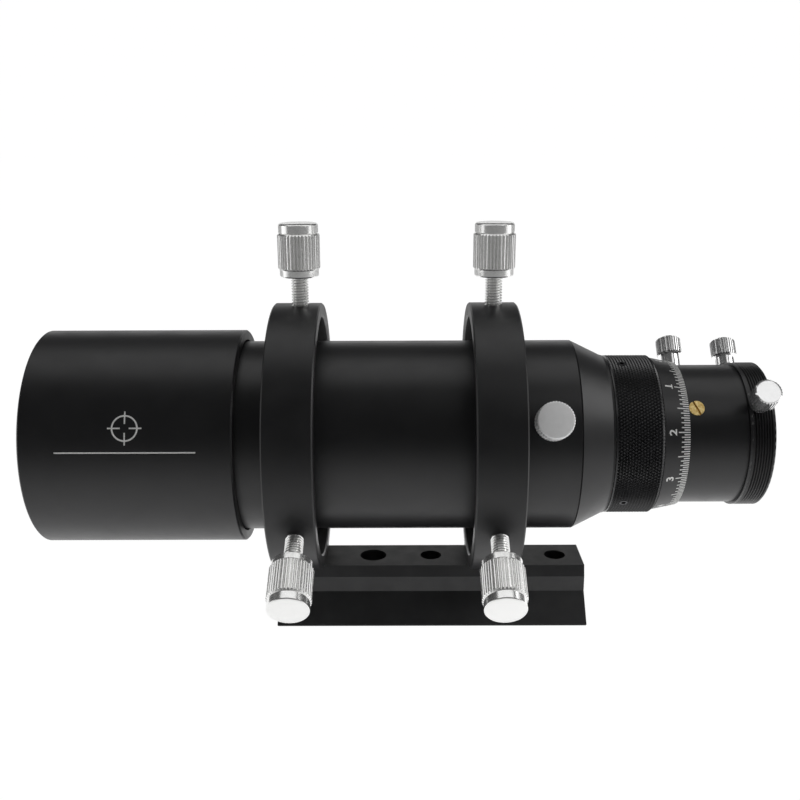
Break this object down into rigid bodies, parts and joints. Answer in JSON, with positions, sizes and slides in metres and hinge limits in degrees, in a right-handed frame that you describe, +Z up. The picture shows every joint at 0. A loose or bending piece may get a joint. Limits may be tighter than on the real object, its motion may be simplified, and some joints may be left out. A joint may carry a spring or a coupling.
{
  "type": "finder scope",
  "caption": "Small refractor finder and guide scope with sliding dew shield, helical focuser and two adjustable screw rings on a dovetail bar.",
  "frame": {"origin": "mouth of the threaded hole in the middle of the dovetail bar's bottom face", "axes": "+X towards the eyepiece along the tube, -Y the side with the tube lock knob, +Z up from the bar to the tube"},
  "size_m": [0.2073, 0.1142, 0.1173],
  "materials": {
    "black_anodised": "satin black anodised",
    "ring_anodised": "satin black anodised",
    "bar_anodised": "satin black anodised, extruded",
    "focuser_anodised": "satin black anodised, turned",
    "matte_black": "flat black",
    "knob_steel": "satin nickel, straight knurl",
    "knob_chrome": "bright plated",
    "lock_alu": "fine satin",
    "brass": "turned",
    "dark_steel": "black oxide",
    "lens_glass": "anti-reflection coated",
    "felt": "felt",
    "nylon": "natural nylon",
    "ptfe": "smooth",
    "white_marking": "white filled engraving"
  },
  "bodies": {
    "mount": {"dovetail_bar": "bar_anodised", "front_ring": "ring_anodised", "rear_ring": "ring_anodised", "ring_bolts": "dark_steel"},
    "tube": {"main_tube": "black_anodised", "lens_cell": "matte_black", "crown_lens": "lens_glass", "flint_lens": "lens_glass", "lens_retaining_ring": "matte_black", "shield_felt_band": "felt", "front_baffle": "matte_black", "rear_baffle": "matte_black"},
    "shield": {"dew_shield": "black_anodised"},
    "focuser": {"focuser_adapter": "focuser_anodised", "inner_barrel": "focuser_anodised", "focus_washer": "ptfe"},
    "focus_ring": {"knurled_focus_ring": "focuser_anodised", "scale_ring": "focuser_anodised", "grub_screws": "dark_steel"},
    "draw": {"drawtube": "focuser_anodised", "guide_screw": "brass", "compression_ring": "brass"},
    "front_top_plug": {"front_top_tip": "nylon"},
    "front_top_screw": {"front_top_thumbscrew": "knob_steel"},
    "front_near_plug": {"front_near_tip": "nylon"},
    "front_near_screw": {"front_near_thumbscrew": "knob_steel"},
    "front_far_plug": {"front_far_tip": "nylon"},
    "front_far_screw": {"front_far_thumbscrew": "knob_steel"},
    "rear_top_plug": {"rear_top_tip": "nylon"},
    "rear_top_screw": {"rear_top_thumbscrew": "knob_steel"},
    "rear_near_plug": {"rear_near_tip": "nylon"},
    "rear_near_screw": {"rear_near_thumbscrew": "knob_steel"},
    "rear_far_plug": {"rear_far_tip": "nylon"},
    "rear_far_screw": {"rear_far_thumbscrew": "knob_steel"},
    "tube_lock_plug": {"tube_lock_tip": "nylon"},
    "tube_lock_knob": {"tube_lock_screw": "lock_alu"},
    "focus_lock_plug": {"focus_lock_tip": "nylon"},
    "focus_lock_knob": {"focus_lock_screw": "knob_chrome"},
    "eyepiece_lock_top_plug": {"eyepiece_lock_top_tip": "nylon"},
    "eyepiece_lock_top_knob": {"eyepiece_lock_top_screw": "knob_chrome"},
    "eyepiece_lock_near_plug": {"eyepiece_lock_near_tip": "nylon"},
    "eyepiece_lock_near_knob": {"eyepiece_lock_near_screw": "knob_chrome"}
  },
  "joints": [
    {"name": "aim_tilt", "type": "hinge", "parent": "mount", "child": "tube", "pos_m": [0.01765, 0, 0.055], "axis": [0, 1, 0], "range_deg": [-1.5, 1.5]},
    {"name": "shield_slide", "type": "slide", "parent": "tube", "child": "shield", "axis": [-1, 0, 0], "range_m": [-0.0075, 0.025]},
    {"name": "coarse_focus", "type": "slide", "parent": "tube", "child": "focuser", "axis": [1, 0, 0], "range_m": [0, 0.012]},
    {"name": "focus_turn", "type": "hinge", "parent": "focuser", "child": "focus_ring", "pos_m": [0.057, 0, 0.055], "axis": [-1, 0, 0], "range_deg": [0, 324.1]},
    {"name": "focus_travel", "type": "slide", "parent": "focuser", "child": "draw", "axis": [1, 0, 0], "range_m": [0, 0.009]},
    {"name": "front_top_travel", "type": "slide", "parent": "mount", "child": "front_top_plug", "axis": [0, 0, 1], "range_m": [-0.00145, 0.00145]},
    {"name": "front_top_turn", "type": "hinge", "parent": "front_top_plug", "child": "front_top_screw", "pos_m": [-0.0378, 0, 0.0547], "axis": [0, 0, 1], "range_deg": [-653.8, 653.8]},
    {"name": "front_near_travel", "type": "slide", "parent": "mount", "child": "front_near_plug", "axis": [0, -0.8788, -0.4772], "range_m": [-0.0007, 0.0007]},
    {"name": "front_near_turn", "type": "hinge", "parent": "front_near_plug", "child": "front_near_screw", "pos_m": [-0.0378, 0, 0.0547], "axis": [0, -0.8788, -0.4772], "range_deg": [-316.45, 316.45]},
    {"name": "front_far_travel", "type": "slide", "parent": "mount", "child": "front_far_plug", "axis": [0, 0.8788, -0.4772], "range_m": [-0.0007, 0.0007]},
    {"name": "front_far_turn", "type": "hinge", "parent": "front_far_plug", "child": "front_far_screw", "pos_m": [-0.0378, 0, 0.0547], "axis": [0, 0.8788, -0.4772], "range_deg": [-316.45, 316.45]},
    {"name": "rear_top_travel", "type": "slide", "parent": "mount", "child": "rear_top_plug", "axis": [0, 0, 1], "range_m": [0, 0.003]},
    {"name": "rear_top_turn", "type": "hinge", "parent": "rear_top_plug", "child": "rear_top_screw", "pos_m": [0.01765, 0, 0.0547], "axis": [0, 0, 1], "range_deg": [0, 1352]},
    {"name": "rear_near_travel", "type": "slide", "parent": "mount", "child": "rear_near_plug", "axis": [0, -0.8788, -0.4772], "range_m": [0, 0.003]},
    {"name": "rear_near_turn", "type": "hinge", "parent": "rear_near_plug", "child": "rear_near_screw", "pos_m": [0.01765, 0, 0.0547], "axis": [0, -0.8788, -0.4772], "range_deg": [0, 1352]},
    {"name": "rear_far_travel", "type": "slide", "parent": "mount", "child": "rear_far_plug", "axis": [0, 0.8788, -0.4772], "range_m": [0, 0.003]},
    {"name": "rear_far_turn", "type": "hinge", "parent": "rear_far_plug", "child": "rear_far_screw", "pos_m": [0.01765, 0, 0.0547], "axis": [0, 0.8788, -0.4772], "range_deg": [0, 1352]},
    {"name": "tube_lock_travel", "type": "slide", "parent": "tube", "child": "tube_lock_plug", "axis": [0, -0.9219, 0.3875], "range_m": [0, 0.0021]},
    {"name": "tube_lock_turn", "type": "hinge", "parent": "tube_lock_plug", "child": "tube_lock_knob", "pos_m": [0.0317, 0, 0.055], "axis": [0, -0.9219, 0.3875], "range_deg": [0, 1082]},
    {"name": "focus_lock_travel", "type": "slide", "parent": "draw", "child": "focus_lock_plug", "axis": [0, 0.6428, 0.766], "range_m": [0, 0.002]},
    {"name": "focus_lock_turn", "type": "hinge", "parent": "focus_lock_plug", "child": "focus_lock_knob", "pos_m": [0.0738, 0, 0.055], "axis": [0, 0.6428, 0.766], "range_deg": [0, 1442]},
    {"name": "eyepiece_lock_top_travel", "type": "slide", "parent": "draw", "child": "eyepiece_lock_top_plug", "axis": [0, 0.6428, 0.766], "range_m": [0, 0.002]},
    {"name": "eyepiece_lock_top_turn", "type": "hinge", "parent": "eyepiece_lock_top_plug", "child": "eyepiece_lock_top_knob", "pos_m": [0.0905, 0, 0.055], "axis": [0, 0.6428, 0.766], "range_deg": [0, 1442]},
    {"name": "eyepiece_lock_near_travel", "type": "slide", "parent": "draw", "child": "eyepiece_lock_near_plug", "axis": [0, -0.7771, 0.6293], "range_m": [0, 0.002]},
    {"name": "eyepiece_lock_near_turn", "type": "hinge", "parent": "eyepiece_lock_near_plug", "child": "eyepiece_lock_near_knob", "pos_m": [0.0905, 0, 0.055], "axis": [0, -0.7771, 0.6293], "range_deg": [0, 1442]}
  ],
  "couplings": [
    {"joint": "focus_turn", "follows": "focus_travel", "rad_per_m": 628.32},
    {"joint": "aim_tilt", "follows": "front_top_travel", "rad_per_m": 18.034},
    {"joint": "front_top_turn", "follows": "front_top_travel", "rad_per_m": 7854},
    {"joint": "front_near_travel", "follows": "front_top_travel", "ratio": -0.48401},
    {"joint": "front_near_turn", "follows": "front_top_travel", "rad_per_m": -3801.4},
    {"joint": "front_far_travel", "follows": "front_top_travel", "ratio": -0.48401},
    {"joint": "front_far_turn", "follows": "front_top_travel", "rad_per_m": -3801.4},
    {"joint": "rear_top_turn", "follows": "rear_top_travel", "rad_per_m": 7854},
    {"joint": "rear_near_turn", "follows": "rear_near_travel", "rad_per_m": 7854},
    {"joint": "rear_far_turn", "follows": "rear_far_travel", "rad_per_m": 7854},
    {"joint": "tube_lock_turn", "follows": "tube_lock_travel", "rad_per_m": 8976},
    {"joint": "focus_lock_turn", "follows": "focus_lock_travel", "rad_per_m": 12566},
    {"joint": "eyepiece_lock_top_turn", "follows": "eyepiece_lock_top_travel", "rad_per_m": 12566},
    {"joint": "eyepiece_lock_near_turn", "follows": "eyepiece_lock_near_travel", "rad_per_m": 12566}
  ]
}
